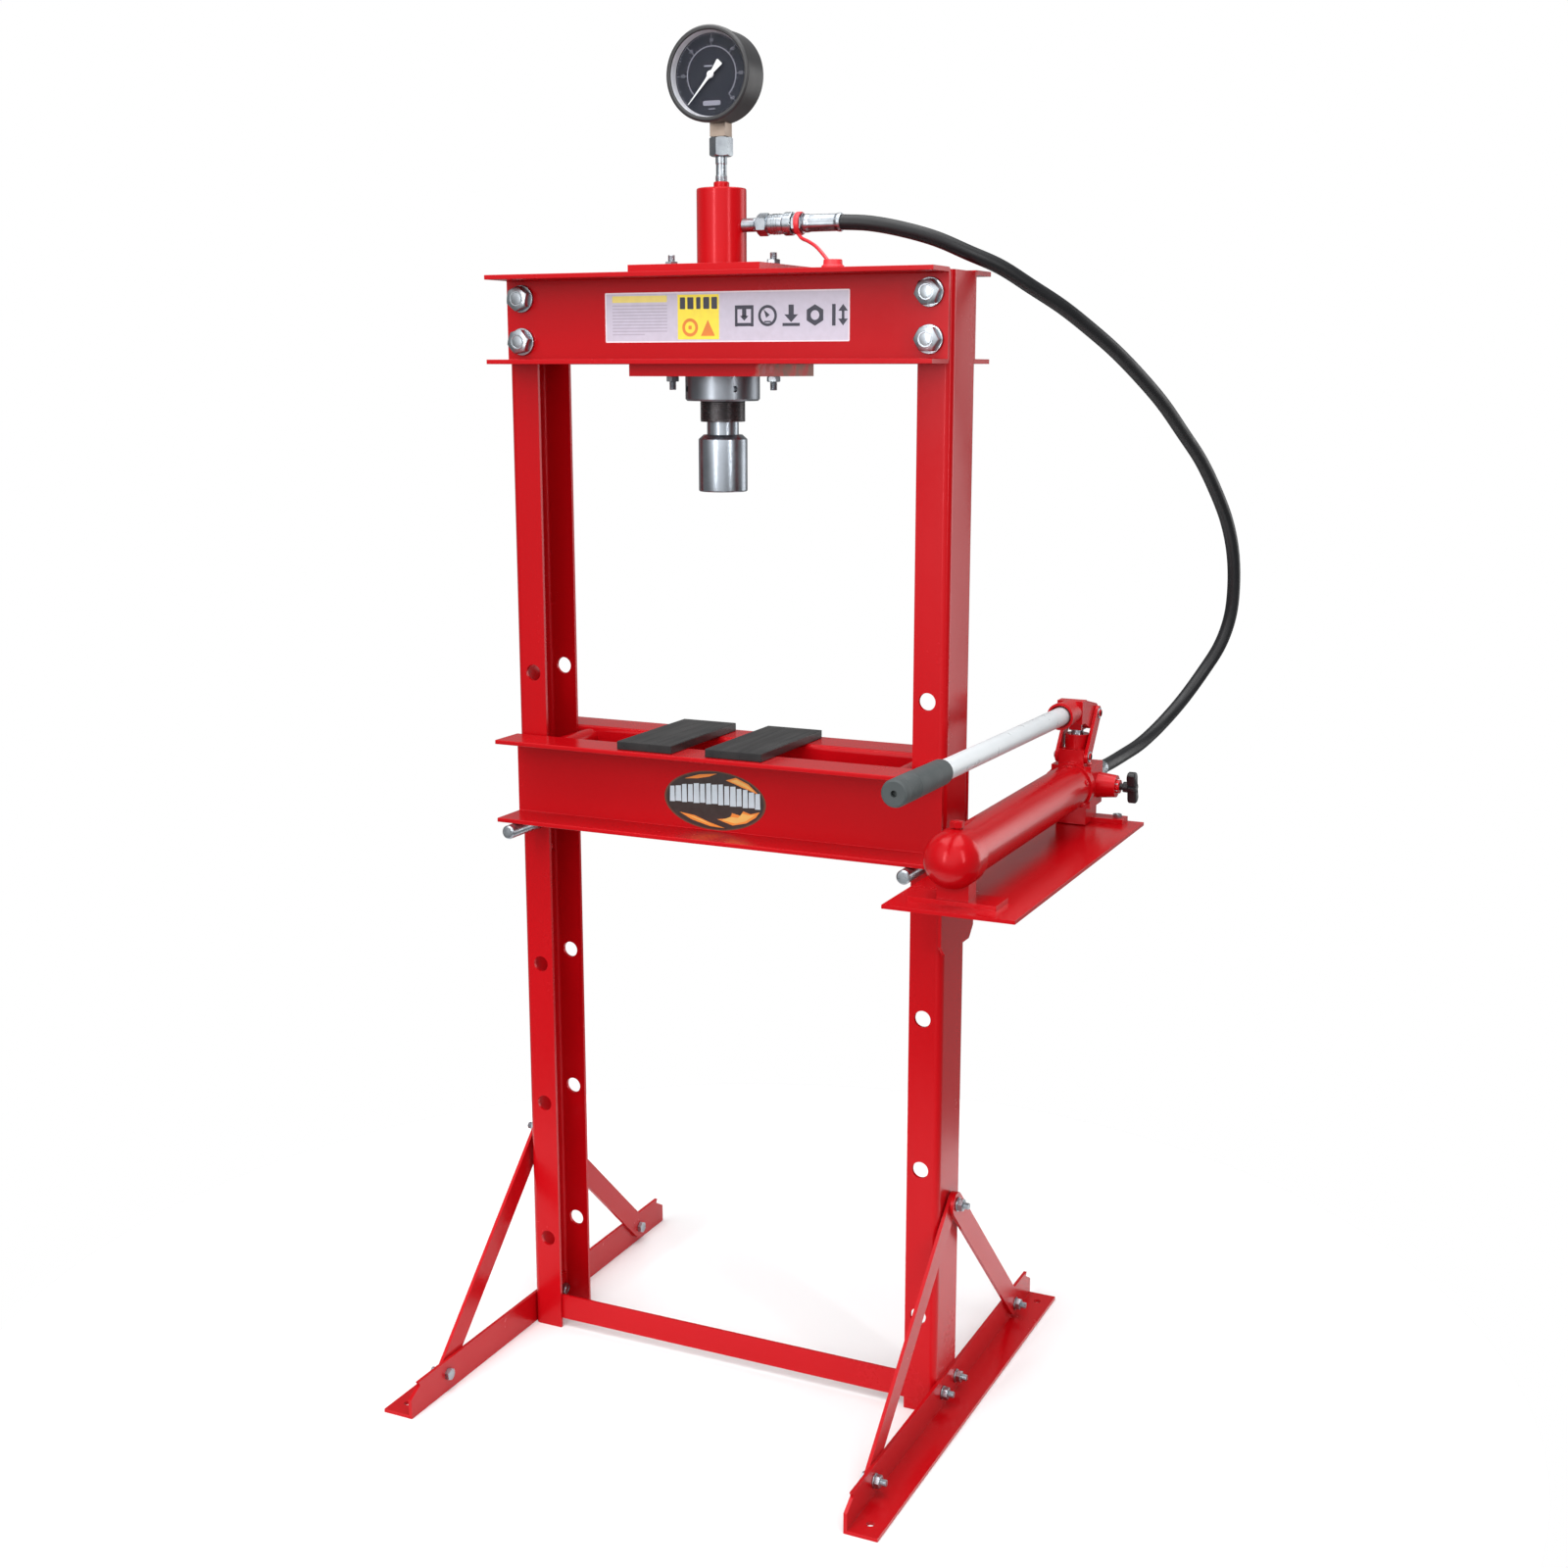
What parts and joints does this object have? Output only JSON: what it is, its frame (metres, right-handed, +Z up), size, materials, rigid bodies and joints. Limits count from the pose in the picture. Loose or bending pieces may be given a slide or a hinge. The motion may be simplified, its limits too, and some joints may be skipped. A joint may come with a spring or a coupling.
{
  "type": "hydraulic shop press",
  "caption": "Floor-standing hydraulic shop press: a bolted frame holds an adjustable bed on pins and a ram driven by a side-mounted lever pump through a hose, with a pressure gauge.",
  "frame": {"origin": "on the floor, midway between the four holes in the feet", "axes": "+Z up, +X towards the pump, -Y towards the operator"},
  "size_m": [0.7589, 0.8649, 1.522],
  "materials": {
    "red_paint": "gloss red enamel, slightly uneven, worn at edges and bolt seats",
    "zinc": "bright zinc plating, satin",
    "bright_steel": "machined steel",
    "black_plate": "black oxide over ground steel, satin",
    "seal_rubber": "matt",
    "label_foil": "printed foil label, gloss",
    "badge_foil": "printed foil badge, gloss",
    "gauge_black": "gloss black",
    "brass": "satin",
    "dial_face": "printed dial, matt",
    "needle_white": "white",
    "lens_glass": "clear",
    "cap_plastic": "moulded, satin",
    "hose_rubber": "braided hydraulic hose with a smooth cover",
    "knob_plastic": "moulded",
    "handle_paint": "pale bright plating",
    "grip_rubber": "moulded, matt"
  },
  "bodies": {
    "frame": {"post_left": "red_paint", "post_right": "red_paint", "beam_front": "red_paint", "beam_rear": "red_paint", "upper_plate": "red_paint", "lower_plate": "red_paint", "tie_studs": "zinc", "stud_nuts": "zinc", "beam_bolts": "zinc", "beam_nuts": "zinc", "foot_left": "red_paint", "foot_right": "red_paint", "braces_left": "red_paint", "braces_right": "red_paint", "lower_crossbar": "red_paint", "foot_bolts": "zinc", "foot_nuts": "zinc", "cylinder_tube": "red_paint", "rod_gland": "bright_steel", "cylinder_ring_nut": "bright_steel", "beam_label": "label_foil", "gauge_adapter": "zinc", "gauge_nut": "zinc", "gauge_case": "gauge_black", "gauge_bourdon_tube": "brass", "gauge_dial": "dial_face", "gauge_lens": "lens_glass", "hose_coupler": "zinc", "hose_end_top": "zinc", "dust_cap": "cap_plastic", "hose": "hose_rubber", "hose_end_pump": "zinc", "pump_tray": "red_paint", "tray_bolts": "zinc", "pump_tank": "red_paint", "pump_end_cap": "red_paint", "pump_head": "red_paint", "fulcrum_links": "red_paint"},
    "ram": {"piston": "bright_steel", "piston_seal": "seal_rubber", "piston_rod": "bright_steel", "press_head": "bright_steel", "return_spring": "bright_steel"},
    "bed": {"bed_channel_front": "red_paint", "bed_channel_rear": "red_paint", "bed_spacers": "red_paint", "bed_badge": "badge_foil"},
    "pin_left": {"bed_pin_left": "zinc"},
    "pin_right": {"bed_pin_right": "zinc"},
    "plate_left": {"arbor_plate_left": "black_plate"},
    "plate_right": {"arbor_plate_right": "black_plate"},
    "handle": {"handle_socket": "red_paint"},
    "handle_tube": {"handle_bar": "handle_paint", "handle_grip": "grip_rubber"},
    "plunger": {"pump_plunger": "bright_steel"},
    "release_knob": {"release_valve": "knob_plastic"},
    "gauge_hand": {"gauge_needle": "needle_white"},
    "collar": {"coupler_collar": "zinc"},
    "filler": {"filler_plug": "red_paint"}
  },
  "joints": [
    {"name": "ram_slide", "type": "slide", "parent": "frame", "child": "ram", "axis": [0, 0, -1], "range_m": [0, 0.118], "stiffness_N_per_m": 400, "springref_m": -0.15, "deforming": ["return_spring"]},
    {"name": "bed_lift", "type": "slide", "parent": "frame", "child": "bed", "axis": [0, 0, 1], "range_m": [0, 0.15]},
    {"name": "pin_left_slide", "type": "slide", "parent": "frame", "child": "pin_left", "axis": [0, -1, 0], "range_m": [0, 0.16]},
    {"name": "pin_right_slide", "type": "slide", "parent": "frame", "child": "pin_right", "axis": [0, -1, 0], "range_m": [0, 0.16]},
    {"name": "plate_left_slide", "type": "slide", "parent": "bed", "child": "plate_left", "axis": [1, 0, 0], "range_m": [-0.08, 0.02]},
    {"name": "plate_right_slide", "type": "slide", "parent": "bed", "child": "plate_right", "axis": [1, 0, 0], "range_m": [-0.02, 0.1]},
    {"name": "handle_swing", "type": "hinge", "parent": "frame", "child": "handle", "pos_m": [0.332, 0.25, 0.774], "axis": [-1, 0, 0], "range_deg": [0, 40]},
    {"name": "plunger_slide", "type": "slide", "parent": "frame", "child": "plunger", "axis": [0, 0, 1], "range_m": [0, 0.0148]},
    {"name": "handle_tube_slide", "type": "slide", "parent": "handle", "child": "handle_tube", "axis": [0, -0.9999, 0.0157], "range_m": [0, 0.03]},
    {"name": "release_turn", "type": "hinge", "parent": "frame", "child": "release_knob", "pos_m": [0.332, 0.242, 0.69], "axis": [1, 0, 0], "range_deg": [0, 360]},
    {"name": "gauge_reading", "type": "hinge", "parent": "frame", "child": "gauge_hand", "pos_m": [-0.014, -0.025, 1.473], "axis": [0, 1, 0], "range_deg": [0, 270], "stiffness_Nm_per_rad": 0.0004, "springref_deg": -17.19},
    {"name": "collar_turn", "type": "hinge", "parent": "frame", "child": "collar", "pos_m": [0.067, 0, 1.32], "axis": [1, 0, 0], "range_deg": [0, 360]},
    {"name": "filler_turn", "type": "hinge", "parent": "frame", "child": "filler", "pos_m": [0.332, -0.175, 0.693], "axis": [0, 0, 1], "range_deg": [0, 360]}
  ],
  "couplings": [
    {"joint": "plunger_slide", "follows": "handle_swing", "m_per_rad": 0.02107}
  ]
}
